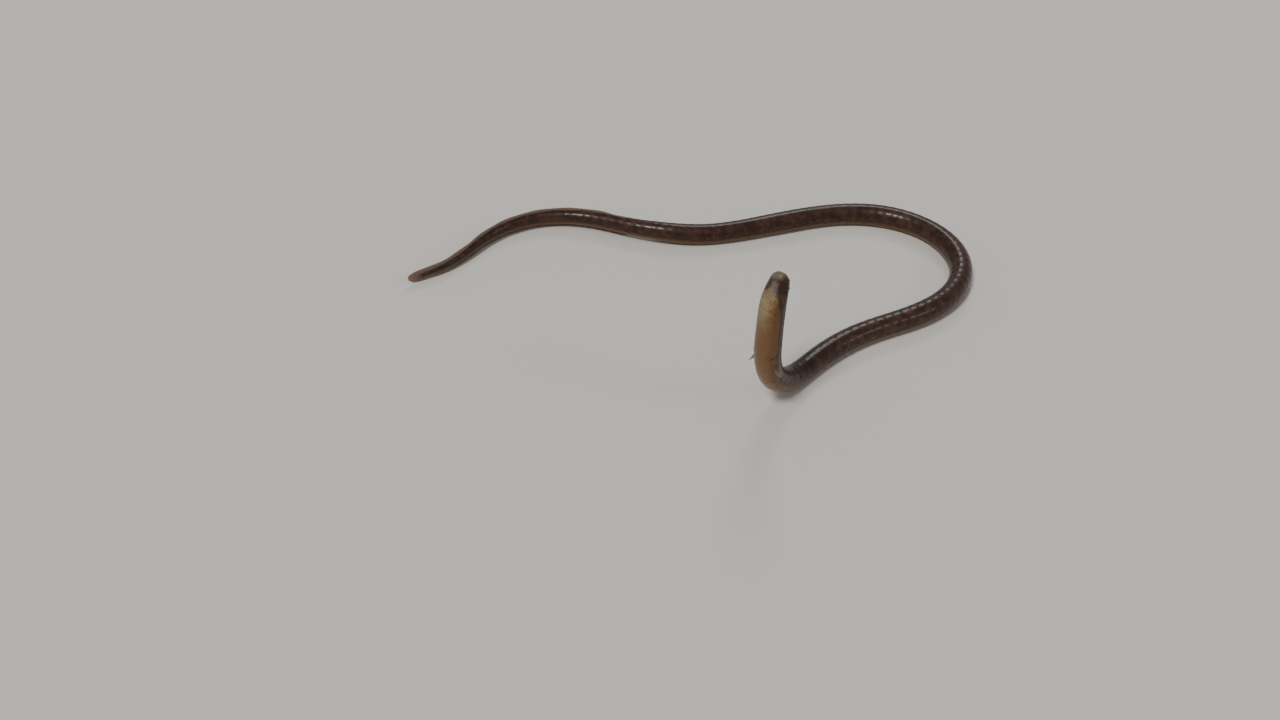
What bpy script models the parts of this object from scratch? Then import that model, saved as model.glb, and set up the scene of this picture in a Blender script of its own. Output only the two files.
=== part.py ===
# A still, life-size model of a purple spaghetti eel. It lies on the floor in loose bends and holds its head
# straight up to look round. Metres, +Z up, and the front view looks along +Y.
# The origin is on the floor, under the middle of the box round the animal.

import math

import bmesh
import bpy
import numpy as np

MM = 0.001
GAP = 0.3 * MM  # between one node's surface and the next

# Places along the body, measured from the tip of the lower jaw
TOTAL_LENGTH = 340 * MM
HEAD_END = 27 * MM
NECK_END = 62 * MM
VENT = 228 * MM
FLESH_END = 333.5 * MM
TRUNK_LENGTHS = 4
TAIL_LENGTHS = 2

# Cross-sections in millimetres: place along the body, half width, height above and depth below midline
SECTIONS = (
    (0.0, 2.05, 1.57, 1.53),
    (2.2, 2.42, 1.95, 1.87),
    (4.4, 2.84, 2.38, 2.25),
    (6.5, 3.20, 2.75, 2.60),
    (9.0, 3.41, 3.04, 2.89),
    (13.0, 3.51, 3.29, 3.17),
    (18.0, 3.57, 3.46, 3.48),
    (23.0, 3.63, 3.56, 3.74),
    (27.0, 3.58, 3.60, 3.70),
    (36.0, 3.45, 3.55, 3.55),
    (60.0, 3.40, 3.55, 3.50),
    (120.0, 3.50, 3.70, 3.65),
    (180.0, 3.45, 3.65, 3.60),
    (228.0, 3.20, 3.45, 3.40),
    (260.0, 2.60, 2.90, 2.85),
    (290.0, 1.95, 2.25, 2.20),
    (315.0, 1.25, 1.50, 1.50),
    (333.5, 0.55, 0.80, 0.80),
)

# The pose: the head stands up, the neck bends down to the floor, and the body lies in five bends
HEAD_PLACE = (19.22 * MM, -46.70 * MM)  # on the floor, so that the animal is centred on the origin
HEAD_LEAN, NECK_LEAN = 0.22, 0.0  # to the right, as a share of the height
LEAN_START, LEAN_LENGTH = 4 * MM, 11.5 * MM  # where the head's lean turns into the neck's
RISE_START = 20 * MM
RISE_LENGTH = 40 * MM
LYING_START = RISE_START + RISE_LENGTH
FIRST_HEADING = math.radians(48)  # of the body behind the neck, from +X
BENDS = (  # start and length along the body in millimetres, and turn to the left in degrees
    (52, 44, -26),
    (84, 120, 176),
    (212, 56, -44),
    (256, 70, 92),
    (310, 30, -40),
)
ROUTE_STEP = 0.25 * MM
BELLY_PRESS = 0.25 * MM  # how far the belly flattens on the floor
TAIL_LIFT_LENGTH = 22 * MM  # behind the vent, where the tail rises onto the edge of its anal fin

# The jaws
LOWER_JAW_LEAD = 0.6 * MM  # how far the lower jaw stands in front of the snout
TIP_ROUND = 2.5 * MM
JAW_BLEND = 6.0 * MM
SNOUT_TIP_HEIGHT = 0.25 * MM
LOWER_TIP_HEIGHT = -0.62 * MM
MOUTH_HEIGHT = -0.35 * MM
MOUTH_CORNER_DROP = 0.30 * MM
MOUTH_LENGTH = 7.6 * MM
MOUTH_CORNER = 0.1 * MM  # the step from the palate to the cheek behind it
LIP_HEIGHT = 0.15 * MM
LIP_FADE = (0.80, 1.05)  # shares of the mouth's length over which the lips fade out
UPPER_SHARES = (0.0, 0.20, 0.40, 0.58, 0.74, 0.86, 0.94, 1.0)  # of the way from back's ridge to mouth
UPPER_LIP = (0, 0, 0, 0, 0, -0.4, 1.0, 0.2)  # the lip's relief at those places
LOWER_SHARES = (0.0, 0.06, 0.15, 0.30, 0.48, 0.66, 0.84, 1.0)  # of the way from the mouth to the chin
LOWER_LIP = (0.2, 1.0, -0.4, 0, 0, 0, 0, 0)
PALATE_POINTS = 11
MOUTH_FLOOR_POINTS = 7

# Eyes, nostrils and gill openings: place along the body and angle from the back's ridge
EYE_PLACE, EYE_ANGLE = 4.1 * MM, math.radians(62)
EYE_RADIUS = 0.52 * MM
EYE_DEPTH = 0.36 * MM
EYE_GAP = 0.2 * MM
FRONT_NOSTRIL_PLACE, FRONT_NOSTRIL_ANGLE = 1.3 * MM, math.radians(66)
REAR_NOSTRIL_PLACE, REAR_NOSTRIL_ANGLE = 2.9 * MM, math.radians(50)
NOSTRIL_RADIUS = 0.20 * MM
NOSTRIL_DEPTH = 0.35 * MM
GILL_PLACE, GILL_ANGLE = 25.2 * MM, math.radians(122)
GILL_HALF_SIZES = (0.22 * MM, 1.25 * MM, 0.55 * MM)  # along the body, round it, and into it
GILL_SLANT = math.radians(25)

# Fins
FIN_START = {"dorsal": 258 * MM, "anal": 251 * MM}
FIN_HEIGHTS = ((240.0, 0.55), (290.0, 0.80), (325.0, 1.10), (333.5, 1.15))  # place and height, millimetres
FIN_FRONT_TAPER = 9 * MM
FIN_RAKE = 0.8
FIN_RAKE_END, FIN_RAKE_FADE = 318 * MM, 14 * MM
FIN_THICKNESS = (0.52 * MM, 0.50 * MM, 0.30 * MM)  # at the root, half way up and at the edge
RAY_RELIEF = 1.3
RAY_SPACING = 1.7 * MM
TAIL_FIN_RAYS = 10
TAIL_FIN_ROOT = 0.6 * MM
PECTORAL_PLACE, PECTORAL_ANGLE = 28.3 * MM, math.radians(106)
PECTORAL_LENGTH = 2.9 * MM
PECTORAL_HALF_ROOT = 0.55 * MM
PECTORAL_HALF_TIP = 1.0 * MM
PECTORAL_TILT = math.radians(29)
PECTORAL_RAYS = 6
FAN_EDGE_SHARE = 0.5  # of a fan's root thickness, at its edge
FAN_SHORTENING, FAN_ROUNDNESS = 0.62, 2.4  # how much shorter a fan's outermost rays are, and how suddenly

# Mesh density
RING_POINTS = 22
RING_SPACING = 2.7 * MM
HEAD_SPACING = 1.8 * MM
JAW_SPACING = 0.9 * MM
JAW_TIP_RINGS = 7
FIRST_RING = 0.02 * MM  # behind a jaw's tip, so that the tip's ring has a width
FAN_ROWS = 5
BALL_SEGMENTS, BALL_RINGS = 12, 8

SKIN_BROWN = (0.115, 0.062, 0.052, 1.0)
FIN_TAN = (0.42, 0.30, 0.21, 1.0)
EYE_BLACK = (0.012, 0.012, 0.018, 1.0)


def clear_scene():
    for old in list(bpy.data.objects):
        bpy.data.objects.remove(old)


def finish_material(name, colour, roughness):
    made = bpy.data.materials.new(name)
    made.use_nodes = True
    shader = made.node_tree.nodes["Principled BSDF"]
    shader.inputs["Base Color"].default_value = colour
    shader.inputs["Roughness"].default_value = roughness
    shader.inputs["Metallic"].default_value = 0.0
    return made


def ease(x):
    """0 below 0, 1 above 1, and a smooth S between them."""
    x = np.clip(x, 0.0, 1.0)
    return x * x * (3 - 2 * x)


def smooth_curve(x, knots, values):
    """A cubic through the knots that never overshoots: at a knot its slope is its sides' harmonic mean."""
    x, knots, values = (np.asarray(v, float) for v in (x, knots, values))
    step = np.diff(knots)
    side = np.diff(values) / step
    same_way = side[:-1] * side[1:] > 0
    total = np.where(same_way, side[:-1] + side[1:], 1.0)
    inner = np.where(same_way, 2 * side[:-1] * side[1:] / total, 0.0)
    slope = np.concatenate([side[:1], inner, side[-1:]])
    i = np.clip(np.searchsorted(knots, x, side="right") - 1, 0, len(step) - 1)
    t = np.clip((x - knots[i]) / step[i], 0.0, 1.0)
    start = (1 + 2 * t) * (1 - t) ** 2 * values[i] + t * (1 - t) ** 2 * step[i] * slope[i]
    end = t * t * (3 - 2 * t) * values[i + 1] - t * t * (1 - t) * step[i] * slope[i + 1]
    return start + end


def sizes_at(s):
    """Half width, height above and depth below the midline at s, before the tip is rounded off."""
    table = np.array(SECTIONS) * MM
    return tuple(smooth_curve(s, table[:, 0], table[:, i]) for i in (1, 2, 3))


def fin_height(s):
    table = np.array(FIN_HEIGHTS) * MM
    return smooth_curve(s, table[:, 0], table[:, 1])


def lying_height(s):
    """The midline's height: on the pressed belly, then behind the vent on the anal fin's edge."""
    depth = sizes_at(s)[2]
    lift = ease((s - VENT) / TAIL_LIFT_LENGTH)
    return depth - BELLY_PRESS + lift * (BELLY_PRESS + GAP + fin_height(s))


def unit(rows):
    return rows / np.linalg.norm(rows, axis=-1, keepdims=True)


def lay_route():
    """The midline every ROUTE_STEP: its points, and the directions to the tail, the back and the left."""
    s = np.arange(0.0, TOTAL_LENGTH + ROUTE_STEP / 2, ROUTE_STEP)
    turns = [math.radians(turn) * ease((s - start * MM) / (length * MM)) for start, length, turn in BENDS]
    heading = FIRST_HEADING + sum(turns)
    raised = 1 - ease((s - RISE_START) / RISE_LENGTH)
    rise = raised * math.pi / 2
    level = np.stack([np.cos(heading), np.sin(heading), 0 * s], axis=1)
    lean = HEAD_LEAN + (NECK_LEAN - HEAD_LEAN) * ease((s - LEAN_START) / LEAN_LENGTH)
    up = unit(np.stack([lean, 0 * s, 0 * s + 1], axis=1))
    tail = unit(np.cos(rise)[:, None] * level - np.sin(rise)[:, None] * up)
    back = np.cos(rise)[:, None] * np.array([0.0, 0.0, 1.0]) + np.sin(rise)[:, None] * level
    back = unit(back - tail * np.sum(back * tail, axis=1, keepdims=True))
    left = np.cross(tail, back)
    points = np.vstack([np.zeros(3), np.cumsum((tail[1:] + tail[:-1]) / 2 * ROUTE_STEP, axis=0)])
    points[:, 2] += lying_height(np.maximum(s, LYING_START)) - points[-1, 2]
    points[:, :2] += HEAD_PLACE
    return {"s": s, "point": points, "tail": tail, "back": back, "left": left}


ROUTE = lay_route()


def on_route(what, s):
    """One column of the route, read at s."""
    return np.array([np.interp(s, ROUTE["s"], ROUTE[what][:, i]) for i in range(3)])


def place(s, across, up):
    """The point at s, that far to the eel's left and towards its back, and never under the floor."""
    found = on_route("point", s) + across * on_route("left", s) + up * on_route("back", s)
    found[2] = max(found[2], 0.0)
    return found


def skin_point(s, angle):
    """The point of the plain skin at s, at an angle from the back's ridge to the eel's left."""
    half_width, above, below = sizes_at(s)
    height = above if math.cos(angle) > 0 else below
    return place(s, half_width * math.sin(angle), height * math.cos(angle))


def skin_normal(s, angle):
    half_width, above, below = sizes_at(s)
    height = above if math.cos(angle) > 0 else below
    across, up = height * math.sin(angle), half_width * math.cos(angle)
    return unit(across * on_route("left", s) + up * on_route("back", s))


def new_object(name, mesh, material):
    made = bpy.data.objects.new(name, mesh)
    bpy.context.scene.collection.objects.link(made)
    made.data.materials.append(material)
    return made


def loft(name, rings, material):
    """One closed mesh through rings of equal length, in triangles that are alike on both sides of a fin."""
    shape = bmesh.new()
    rows = [[shape.verts.new(point) for point in ring] for ring in rings]
    count = len(rows[0])
    for row, following in zip(rows, rows[1:]):
        for i in range(count):
            j = (i + 1) % count
            shape.faces.new((row[i], row[j], following[j]))
            shape.faces.new((row[i], following[j], following[i]))
    for row in (rows[0], rows[-1]):
        middle = shape.verts.new(sum((v.co for v in row[1:]), row[0].co.copy()) / count)
        for i in range(count):
            shape.faces.new((row[i], row[(i + 1) % count], middle))
    bmesh.ops.recalc_face_normals(shape, faces=shape.faces[:])
    if shape.calc_volume(signed=True) < 0:
        bmesh.ops.reverse_faces(shape, faces=shape.faces[:])
    mesh = bpy.data.meshes.new(name)
    shape.to_mesh(mesh)
    shape.free()
    mesh.shade_smooth()
    mesh.set_sharp_from_angle(angle=math.radians(50))
    return new_object(name, mesh, material)


def jaw_section(t, tip_height):
    """Half width, height, depth and middle height of a jaw's round section, t behind the jaw's own tip."""
    share = min(t / TIP_ROUND, 1.0)
    rounding = math.sqrt(1 - (1 - share) ** 2)
    fade = 1 - float(ease(t / JAW_BLEND))
    half_width, above, below = (float(size) * rounding for size in sizes_at(t))
    return half_width, above, below, tip_height * fade


def mouth_height(t):
    return MOUTH_HEIGHT - MOUTH_CORNER_DROP * float(ease(t / MOUTH_LENGTH - 0.35))


def mouth_angle(section, height):
    """The angle from the back's ridge at which a section's outline passes a height."""
    _, above, below, middle = section
    rise = height - middle
    share = rise / (above if rise > 0 else below)
    return math.acos(min(max(share, -0.97), 0.97))


def outline(section, angle, relief=0.0):
    """(across, up) of a section's outline at an angle, raised by a relief."""
    half_width, above, below, middle = section
    height = above if math.cos(angle) > 0 else below
    across = (half_width + relief) * math.sin(angle)
    return across, middle + (height + relief) * math.cos(angle)


def lip_share(t):
    """Lips fade out at the corner of the mouth."""
    start, end = LIP_FADE
    return LIP_HEIGHT * (1 - float(ease((t / MOUTH_LENGTH - start) / (end - start))))


def head_ring(t):
    """Round behind the mouth. Beside the mouth, its under side is the flat of the palate instead."""
    s = t + LOWER_JAW_LEAD * (1 - float(ease(t / JAW_BLEND)))
    section = jaw_section(t, SNOUT_TIP_HEIGHT)
    edge = mouth_angle(section, mouth_height(t) + GAP / 2)
    lip = lip_share(t)
    side = [outline(section, edge * share, lip * relief) for share, relief in zip(UPPER_SHARES, UPPER_LIP)]
    arc = [(-across, up) for across, up in side[:0:-1]] + side
    (left_across, left_up), (right_across, _) = arc[-1], arc[0]
    under = []
    for i in range(1, PALATE_POINTS + 1):
        share = i / (PALATE_POINTS + 1)
        if t < MOUTH_LENGTH:
            under.append((left_across + share * (right_across - left_across), left_up))
        else:
            under.append(outline(section, edge + share * (2 * math.pi - 2 * edge)))
    return [place(s, across, up) for across, up in arc + under]


def lower_jaw_ring(t):
    section = jaw_section(t, LOWER_TIP_HEIGHT)
    edge = mouth_angle(section, mouth_height(t) - GAP / 2)
    lip = lip_share(t)
    side = []
    for share, relief in zip(LOWER_SHARES, LOWER_LIP):
        side.append(outline(section, edge + share * (math.pi - edge), lip * relief))
    arc = side + [(-across, up) for across, up in side[-2::-1]]
    (left_across, left_up), (right_across, _) = arc[0], arc[-1]
    floor = []
    for i in range(1, MOUTH_FLOOR_POINTS + 1):
        share = i / (MOUTH_FLOOR_POINTS + 1)
        floor.append((right_across + share * (left_across - right_across), left_up))
    return [place(t, across, up) for across, up in arc + floor]


def even_places(start, end, spacing):
    """Places from start to end, both included, about that spacing apart."""
    count = round((end - start) / spacing)
    return [start + (end - start) * i / count for i in range(count + 1)]


def jaw_stations(end):
    """Places behind a jaw's tip, closest together where it is round."""
    turns = [math.pi / 2 * i / JAW_TIP_RINGS for i in range(1, JAW_TIP_RINGS)]
    tip = [FIRST_RING] + [TIP_ROUND * (1 - math.cos(turn)) for turn in turns]
    return tip + even_places(TIP_ROUND, end, JAW_SPACING)


def ball(name, radius, centre):
    shape = bmesh.new()
    bmesh.ops.create_uvsphere(shape, u_segments=BALL_SEGMENTS, v_segments=BALL_RINGS, radius=radius)
    mesh = bpy.data.meshes.new(name)
    shape.to_mesh(mesh)
    shape.free()
    mesh.shade_smooth()
    made = bpy.data.objects.new(name, mesh)
    bpy.context.scene.collection.objects.link(made)
    made.location = centre
    return made


def frame_matrix(x_axis, y_axis, z_axis, origin):
    """A matrix with those columns."""
    rows = np.column_stack([x_axis, y_axis, z_axis, origin])
    return [list(row) for row in rows] + [[0, 0, 0, 1]]


def skin_frame(s, angle, slant=0.0):
    """Tailward, round the body and outward at a place on the skin, the first two turned by a slant."""
    out = skin_normal(s, angle)
    along = on_route("tail", s)
    along = unit(along - out * np.dot(along, out))
    around = np.cross(out, along)
    cos, sin = math.cos(slant), math.sin(slant)
    return cos * along + sin * around, cos * around - sin * along, out


def as_cutter(made):
    made.hide_render = True
    made.display_type = "WIRE"
    return made


def gill_cutter(side):
    """A flat almond that stands on the skin, low on the side in front of the pectoral fin."""
    cutter = ball(f"cut_gill_{side}", 1.0, (0, 0, 0))
    sign = 1 if side == "left" else -1
    along, around, out = skin_frame(GILL_PLACE, sign * GILL_ANGLE, sign * GILL_SLANT)
    half_thick, half_long, half_deep = GILL_HALF_SIZES
    matrix = frame_matrix(
        along * half_thick, around * half_long, out * half_deep, skin_point(GILL_PLACE, sign * GILL_ANGLE)
    )
    cutter.matrix_world = np.array(matrix).T
    return as_cutter(cutter)


def nostril_cutter(name, s, angle):
    """A small cone with its mouth just outside the skin."""
    section = jaw_section(s, SNOUT_TIP_HEIGHT)
    across, up = outline(section, angle)
    lead = LOWER_JAW_LEAD * (1 - float(ease(s / JAW_BLEND)))
    mouth = place(s + lead, across, up)
    along, around, out = skin_frame(s, angle)
    shape = bmesh.new()
    bmesh.ops.create_cone(shape, cap_ends=True, segments=8, radius1=0.7, radius2=1.0, depth=2.0)
    mesh = bpy.data.meshes.new(name)
    shape.to_mesh(mesh)
    shape.free()
    cutter = bpy.data.objects.new(name, mesh)
    bpy.context.scene.collection.objects.link(cutter)
    matrix = frame_matrix(along * NOSTRIL_RADIUS, around * NOSTRIL_RADIUS, out * NOSTRIL_DEPTH, mouth)
    cutter.matrix_world = np.array(matrix).T
    return as_cutter(cutter)


def eye_centre(sign):
    out = skin_normal(EYE_PLACE, sign * EYE_ANGLE)
    return skin_point(EYE_PLACE, sign * EYE_ANGLE) - EYE_DEPTH * out


def make_head(skin):
    """Skull, snout, cheeks and gill region in one piece, with pits for eyes, nostrils and gill openings."""
    behind = even_places(MOUTH_LENGTH + MOUTH_CORNER, HEAD_END - GAP / 2, HEAD_SPACING)
    stations = jaw_stations(MOUTH_LENGTH - MOUTH_CORNER) + behind
    head = loft("head", [head_ring(t) for t in stations], skin)
    cutters = []
    for side, sign in (("left", 1), ("right", -1)):
        cutters.append(as_cutter(ball(f"cut_eye_{side}", EYE_RADIUS + EYE_GAP, eye_centre(sign))))
        cutters.append(gill_cutter(side))
        cutters.append(nostril_cutter(f"cut_front_{side}", FRONT_NOSTRIL_PLACE, sign * FRONT_NOSTRIL_ANGLE))
        cutters.append(nostril_cutter(f"cut_rear_{side}", REAR_NOSTRIL_PLACE, sign * REAR_NOSTRIL_ANGLE))
    for cutter in cutters:
        cut = head.modifiers.new(cutter.name, "BOOLEAN")
        cut.operation = "DIFFERENCE"
        cut.solver = "EXACT"
        cut.object = cutter
    return head


def make_lower_jaw(skin):
    stations = jaw_stations(MOUTH_LENGTH - GAP - MOUTH_CORNER)
    return loft("lower_jaw", [lower_jaw_ring(t) for t in stations], skin)


def make_eyes(black):
    for side, sign in (("left", 1), ("right", -1)):
        eye = ball(f"eye_{side}", EYE_RADIUS, eye_centre(sign))
        eye.data.materials.append(black)


def make_length(name, start, end, skin):
    """One length of the round body, with a flat of pressed belly where it lies on the floor."""
    start, end = start + GAP / 2, end - GAP / 2
    count = math.ceil((end - start) / RING_SPACING)
    angles = [2 * math.pi * k / RING_POINTS for k in range(RING_POINTS)]
    rings = []
    for i in range(count + 1):
        s = start + (end - start) * i / count
        rings.append([skin_point(s, angle) for angle in angles])
    return loft(name, rings, skin)


def make_body(skin):
    make_length("neck", HEAD_END, NECK_END, skin)
    step = (VENT - NECK_END) / TRUNK_LENGTHS
    for i in range(TRUNK_LENGTHS):
        make_length(f"trunk_{i + 1}", NECK_END + i * step, NECK_END + (i + 1) * step, skin)
    step = (FLESH_END - VENT) / TAIL_LENGTHS
    for i in range(TAIL_LENGTHS):
        make_length(f"tail_{i + 1}", VENT + i * step, VENT + (i + 1) * step, skin)


def make_fold(name, up, membrane):
    """A low fin along the tail's ridge, up 1 or -1, with a raked ray as a ridge at every second station."""
    start, end = FIN_START[name], FLESH_END - GAP / 2
    count = 2 * round((end - start) / RAY_SPACING)
    rings = []
    for i in range(count + 1):
        s = start + (end - start) * i / count
        tall = float(fin_height(s)) * (0.5 + 0.5 * float(ease((s - start) / FIN_FRONT_TAPER)))
        rake = FIN_RAKE * (1 - float(ease((s - FIN_RAKE_END) / FIN_RAKE_FADE)))
        relief = RAY_RELIEF if i % 2 else 1.0
        left, right = [], []
        for share, thickness in zip((0.0, 0.5, 1.0), FIN_THICKNESS):
            here = min(s + rake * share * tall, end)
            root = float(sizes_at(here)[1 if up > 0 else 2]) + GAP
            half = thickness / 2 * (relief if share < 1 else 1.0)
            left.append(place(here, half, up * (root + share * tall)))
            right.append(place(here, -half, up * (root + share * tall)))
        rings.append(left + right[::-1])
    return loft(f"{name}_fin", rings, membrane)


def fan(name, root, along, spread, normal, length, half_root, half_tip, rays, root_thickness, membrane):
    """A fan of rays: each ray is a ridge on the membrane, and the middle rays are the longest."""
    columns = 2 * rays + 1
    rings = []
    for j in range(columns):
        v = 2 * j / (columns - 1) - 1
        ray_length = length * (1 - FAN_SHORTENING * abs(v) ** FAN_ROUNDNESS)
        relief = RAY_RELIEF if j % 2 else 1.0
        front, rear = [], []
        for i in range(FAN_ROWS):
            u = i / (FAN_ROWS - 1)
            half = root_thickness / 2 * (1 - (1 - FAN_EDGE_SHARE) * u) * (relief if u < 1 else 1.0)
            half_width = half_root + (half_tip - half_root) * math.sin(math.pi / 2 * u)
            point = root + along * ray_length * u + spread * v * half_width
            front.append(point + normal * half)
            rear.append(point - normal * half)
        rings.append(front + rear[::-1])
    return loft(name, rings, membrane)


def make_fins(membrane):
    make_fold("dorsal", 1, membrane)
    make_fold("anal", -1, membrane)
    start = FLESH_END + GAP / 2
    half_root = float(sizes_at(FLESH_END)[1] + fin_height(FLESH_END)) + GAP
    root, along = on_route("point", start), on_route("tail", start)
    normal, spread = on_route("left", start), on_route("back", start)
    length = TOTAL_LENGTH - start
    fan(
        "tail_fin", root, along, spread, normal, length, half_root, 0.9 * half_root,
        TAIL_FIN_RAYS, TAIL_FIN_ROOT, membrane,
    )
    for side, sign in (("left", 1), ("right", -1)):
        along, around, out = skin_frame(PECTORAL_PLACE, sign * PECTORAL_ANGLE)
        tilted = math.cos(PECTORAL_TILT) * along + math.sin(PECTORAL_TILT) * out
        normal = math.cos(PECTORAL_TILT) * out - math.sin(PECTORAL_TILT) * along
        clear = GAP + FIN_THICKNESS[0] / 2 * RAY_RELIEF * math.cos(PECTORAL_TILT)
        root = skin_point(PECTORAL_PLACE, sign * PECTORAL_ANGLE) + clear * out
        fan(
            f"pectoral_fin_{side}", root, tilted, around, normal, PECTORAL_LENGTH, PECTORAL_HALF_ROOT,
            PECTORAL_HALF_TIP, PECTORAL_RAYS, FIN_THICKNESS[0], membrane,
        )


def main():
    clear_scene()
    skin = finish_material("moist_skin", SKIN_BROWN, 0.35)
    membrane = finish_material("fin_membrane", FIN_TAN, 0.4)
    black = finish_material("eye_black", EYE_BLACK, 0.1)
    make_head(skin)
    make_lower_jaw(skin)
    make_eyes(black)
    make_body(skin)
    make_fins(membrane)


main()
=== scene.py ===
# %% [markdown]
# # A purple spaghetti eel, looking up
#
# The animal is a very thin eel, 340 mm long and 7 mm thick. Its head stands straight up and the rest lies
# on the floor in loose bends. A body like this could be sculpted by hand, but every cross-section is almost
# an ellipse and every one sits on a single curved midline. So the whole skin is worked out as one grid of
# points: one parameter runs along the midline and the other runs round the body.
#
# All lengths below are millimetres. They become metres at the moment a mesh is made.

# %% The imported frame
import math

import bpy
import numpy as np
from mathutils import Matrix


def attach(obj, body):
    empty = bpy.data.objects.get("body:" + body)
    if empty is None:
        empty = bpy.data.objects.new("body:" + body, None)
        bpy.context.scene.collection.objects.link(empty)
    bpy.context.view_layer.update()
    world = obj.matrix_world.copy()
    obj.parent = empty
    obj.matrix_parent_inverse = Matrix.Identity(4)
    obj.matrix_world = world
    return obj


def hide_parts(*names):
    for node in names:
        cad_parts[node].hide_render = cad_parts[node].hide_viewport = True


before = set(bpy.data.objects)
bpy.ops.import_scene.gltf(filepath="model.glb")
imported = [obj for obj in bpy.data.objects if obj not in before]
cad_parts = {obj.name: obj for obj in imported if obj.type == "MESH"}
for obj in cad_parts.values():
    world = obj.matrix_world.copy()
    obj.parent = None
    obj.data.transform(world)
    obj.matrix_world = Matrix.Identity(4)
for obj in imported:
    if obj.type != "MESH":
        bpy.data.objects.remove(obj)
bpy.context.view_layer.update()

MM = 0.001
print("frame nodes:", ", ".join(sorted(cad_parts)))

# %% [markdown]
# ## Small tools
#
# Most shapes on an animal fade into each other. `ease` is the S-shaped step that does the fading, `hump` is
# a soft bump of a given width, and `smooth_curve` runs a smooth line through a few chosen values without
# swinging past them. A spline would be shorter to write, but it would overshoot next to the blunt snout.


# %% Smooth steps, humps and curves
def ease(x):
    """0 below 0, 1 above 1, and 3x^2 - 2x^3 between."""
    x = np.clip(x, 0.0, 1.0)
    return x * x * (3 - 2 * x)


def ease_from(x, start, length):
    """The same step, from 0 at start to 1 at start + length."""
    return ease((x - start) / length)


def hump(x, width):
    """1 at x = 0, falling off as exp(-(x / width)^2)."""
    return np.exp(-((x / width) ** 2))


def smooth_curve(x, knots, values):
    """A cubic through the knots; the slope at each is the harmonic mean of the slopes on both sides."""
    x, knots, values = (np.asarray(v, float) for v in (x, knots, values))
    step = np.diff(knots)
    side = np.diff(values) / step
    same_way = side[:-1] * side[1:] > 0
    total = np.where(same_way, side[:-1] + side[1:], 1.0)
    inner = np.where(same_way, 2 * side[:-1] * side[1:] / total, 0.0)
    slope = np.concatenate([side[:1], inner, side[-1:]])
    i = np.clip(np.searchsorted(knots, x, side="right") - 1, 0, len(step) - 1)
    t = np.clip((x - knots[i]) / step[i], 0.0, 1.0)
    start = (1 + 2 * t) * (1 - t) ** 2 * values[i] + t * (1 - t) ** 2 * step[i] * slope[i]
    end = t * t * (3 - 2 * t) * values[i + 1] - t * t * (1 - t) * step[i] * slope[i + 1]
    return start + end


def unit(rows):
    """Each row divided by its own length."""
    return rows / np.linalg.norm(rows, axis=-1, keepdims=True)


print("half way up a step:", float(ease(0.5)))

# %% [markdown]
# ## How thick the eel is
#
# A spaghetti eel is nearly a cylinder. Only the head narrows to a blunt snout and the tail tapers to its
# fin. A table of a few cross-sections says it all: the place along the body, half the width, and the height
# above and depth below the midline. A bevelled curve would be quicker, but its section has one height for
# above and below. Fins stand on the last quarter, so their height is a second, shorter table.

# %% Cross-sections along the body
TOTAL_LENGTH = 340.0
VENT = 228.0
FLESH_END = 333.5
SECTIONS = np.array([
    (0.0, 2.05, 1.57, 1.53),
    (2.2, 2.42, 1.95, 1.87),
    (4.4, 2.84, 2.38, 2.25),
    (6.5, 3.20, 2.75, 2.60),
    (9.0, 3.41, 3.04, 2.89),
    (13.0, 3.51, 3.29, 3.17),
    (18.0, 3.57, 3.46, 3.48),
    (23.0, 3.63, 3.56, 3.74),
    (27.0, 3.58, 3.60, 3.70),
    (36.0, 3.45, 3.55, 3.55),
    (60.0, 3.40, 3.55, 3.50),
    (120.0, 3.50, 3.70, 3.65),
    (180.0, 3.45, 3.65, 3.60),
    (228.0, 3.20, 3.45, 3.40),
    (260.0, 2.60, 2.90, 2.85),
    (290.0, 1.95, 2.25, 2.20),
    (315.0, 1.25, 1.50, 1.50),
    (333.5, 0.55, 0.80, 0.80),
])
FIN_HEIGHTS = np.array([(240.0, 0.55), (290.0, 0.80), (325.0, 1.10), (333.5, 1.15)])
FIN_GAP = 0.3  # between the body and a fin's root in the solids


def sizes_at(s):
    """Half width, height above and depth below the midline at the place s."""
    return tuple(smooth_curve(s, SECTIONS[:, 0], SECTIONS[:, i]) for i in (1, 2, 3))


def fin_height(s):
    """How tall the dorsal and anal fins are at s."""
    return smooth_curve(s, FIN_HEIGHTS[:, 0], FIN_HEIGHTS[:, 1])


print("thickest:", round(2 * float(SECTIONS[:, 1].max()), 2), "mm wide")

# %% [markdown]
# ## The pose
#
# The midline is a path of tiny steps, each with its own heading. The heading turns smoothly from bend to
# bend, and near the head the path also swings from lying flat to standing up. Adding up the steps gives the
# midline. Its height is then set so that the belly, and further back the edge of the anal fin, rests on the
# floor. Hand-placed spline points would change the animal's length each time one is moved. A path made of
# headings always keeps its length.

# %% The midline and its directions
HEAD_PLACE = (19.22, -46.70)  # to the right and back, from the middle of the frame
HEAD_LEAN, NECK_LEAN = 0.22, 0.0  # millimetres to the right for each one up
LEAN_START, LEAN_LENGTH = 4.0, 11.5
RISE_START, RISE_LENGTH = 20.0, 40.0  # where the upright front part turns into the lying body
LYING_START = RISE_START + RISE_LENGTH  # from here on the midline follows the floor
FIRST_HEADING = math.radians(48)
BENDS = (  # start, length, and turn to the left in degrees
    (52, 44, -26),
    (84, 120, 176),
    (212, 56, -44),
    (256, 70, 92),
    (310, 30, -40),
)
ROUTE_STEP = 0.25
BELLY_PRESS = 0.25  # how far the body's own weight flattens the belly
TAIL_LIFT_LENGTH = 22.0


def lying_height(s):
    """The midline's height above the floor: on the pressed belly, and later on the anal fin's edge."""
    lift = ease_from(s, VENT, TAIL_LIFT_LENGTH)
    return sizes_at(s)[2] - BELLY_PRESS + lift * (BELLY_PRESS + FIN_GAP + fin_height(s))


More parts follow.
